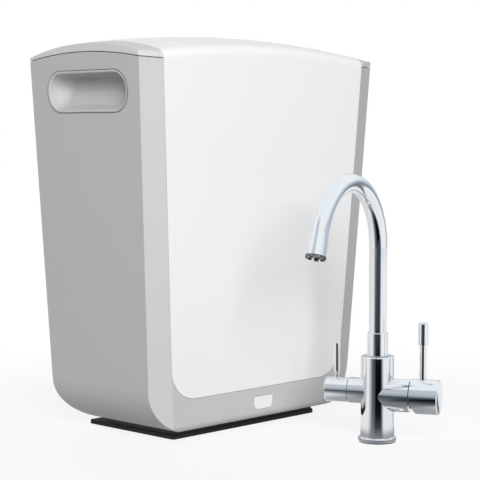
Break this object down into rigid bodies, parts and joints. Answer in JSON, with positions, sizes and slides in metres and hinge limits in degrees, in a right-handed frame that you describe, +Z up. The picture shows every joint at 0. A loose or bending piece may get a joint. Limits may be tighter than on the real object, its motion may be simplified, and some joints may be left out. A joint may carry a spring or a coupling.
{
  "type": "reverse osmosis system",
  "caption": "Under-sink reverse osmosis unit in a tapered casing with scooped side grips and lift-off cover, with its three-way swivel tap.",
  "frame": {"origin": "on the floor under the middle of the unit's foot plate", "axes": "+Z up, the front faces -Y, +X to the right seen from the rear"},
  "size_m": [0.3842, 0.41, 0.45],
  "materials": {
    "housing_grey": "fine satin moulded grain",
    "trim_grey": "satin moulded",
    "cover_white": "semi-gloss moulded",
    "black_plastic": "plain moulded",
    "rubber": "dull",
    "board": "solder mask",
    "chassis_grey": "plain moulded",
    "zinc": "zinc plated",
    "cartridge_shell": "plain moulded",
    "valve_white": "plain moulded",
    "switch_grey": "plain moulded",
    "supply_case": "plain",
    "tube_white": "extruded",
    "port_white": "plain moulded",
    "collet_blue": "plain moulded",
    "tap_chrome": "polished plating",
    "brass": "turned"
  },
  "bodies": {
    "unit": {"housing": "housing_grey", "left_grip_cup": "housing_grey", "right_grip_cup": "housing_grey", "front_frame": "trim_grey", "base_plinth": "black_plastic", "manifold": "black_plastic", "pump_head": "black_plastic", "inlet_coil": "black_plastic", "flush_coil": "black_plastic", "power_inlet": "black_plastic", "foot_plate": "rubber", "pump_mounts": "rubber", "socket_seals": "rubber", "tap_base_seal": "rubber", "button_board": "board", "control_board": "board", "chassis": "chassis_grey", "chassis_screws": "zinc", "pump_bracket": "zinc", "pump_motor": "zinc", "inlet_valve": "valve_white", "flush_valve": "valve_white", "spout_bush": "valve_white", "mixer_valve": "valve_white", "pressure_switch": "switch_grey", "power_supply": "supply_case", "feed_tube": "tube_white", "pump_inlet_tube": "tube_white", "pump_outlet_tube": "tube_white", "product_tube": "tube_white", "drain_tube": "tube_white", "rear_ports": "port_white", "port_nuts": "port_white", "tap_base_ring": "tap_chrome", "tap_body": "tap_chrome", "hose_sockets": "brass", "mixer_valve_nut": "brass", "filter_valve": "brass"},
    "cover": {"lid": "trim_grey", "front_cover": "cover_white", "cover_screws": "zinc"},
    "button": {"status_button": "cover_white"},
    "sediment": {"sediment_cartridge": "cartridge_shell"},
    "membrane": {"membrane_cartridge": "cartridge_shell"},
    "carbon": {"carbon_cartridge": "cartridge_shell"},
    "spout": {"spout_collar": "tap_chrome", "spout_tube": "tap_chrome", "spout_seals": "rubber", "filtered_water_tube": "tube_white", "spout_outlet": "switch_grey"},
    "mixer_stem": {"mixer_spindle": "brass"},
    "mixer_lever": {"mixer_knob": "tap_chrome", "mixer_pin": "brass", "mixer_rod": "tap_chrome", "mixer_grip": "tap_chrome"},
    "filter_handle": {"filter_knob": "tap_chrome", "filter_lever": "tap_chrome"},
    "feed_release": {"feed_collet": "collet_blue"},
    "product_release": {"product_collet": "collet_blue"},
    "drain_release": {"drain_collet": "collet_blue"}
  },
  "joints": [
    {"name": "cover_lift", "type": "slide", "parent": "unit", "child": "cover", "axis": [0, -0.0375, 0.9993], "range_m": [0, 0.42]},
    {"name": "button_press", "type": "slide", "parent": "unit", "child": "button", "axis": [0, 0.9993, 0.0375], "range_m": [0, 0.0015], "stiffness_N_per_m": 400, "springref_m": -0.001},
    {"name": "sediment_twist", "type": "hinge", "parent": "unit", "child": "sediment", "pos_m": [-0.018, -0.012, 0.082], "axis": [0, 0, 1], "range_deg": [0, 50]},
    {"name": "membrane_twist", "type": "hinge", "parent": "unit", "child": "membrane", "pos_m": [0.044, -0.012, 0.082], "axis": [0, 0, 1], "range_deg": [0, 50]},
    {"name": "carbon_twist", "type": "hinge", "parent": "unit", "child": "carbon", "pos_m": [0.106, -0.012, 0.082], "axis": [0, 0, 1], "range_deg": [0, 50]},
    {"name": "spout_swivel", "type": "hinge", "parent": "unit", "child": "spout", "pos_m": [0.0347, -0.226, 0.1], "axis": [0, 0, 1], "range_deg": [-70, 70]},
    {"name": "mixer_turn", "type": "hinge", "parent": "unit", "child": "mixer_stem", "pos_m": [0.04785, -0.25296, 0.052], "axis": [0.4384, -0.8988, 0], "range_deg": [-45, 45]},
    {"name": "mixer_tilt", "type": "hinge", "parent": "mixer_stem", "child": "mixer_lever", "pos_m": [0.05574, -0.26914, 0.052], "axis": [0.8988, 0.4384, 0], "range_deg": [0, 22]},
    {"name": "filter_turn", "type": "hinge", "parent": "unit", "child": "filter_handle", "pos_m": [0.01716, -0.19005, 0.0555], "axis": [0.4384, -0.8988, 0], "range_deg": [0, 90]},
    {"name": "feed_release_push", "type": "slide", "parent": "unit", "child": "feed_release", "axis": [0, -1, 0], "range_m": [0, 0.0012]},
    {"name": "product_release_push", "type": "slide", "parent": "unit", "child": "product_release", "axis": [0, -1, 0], "range_m": [0, 0.0012]},
    {"name": "drain_release_push", "type": "slide", "parent": "unit", "child": "drain_release", "axis": [0, -1, 0], "range_m": [0, 0.0012]}
  ]
}
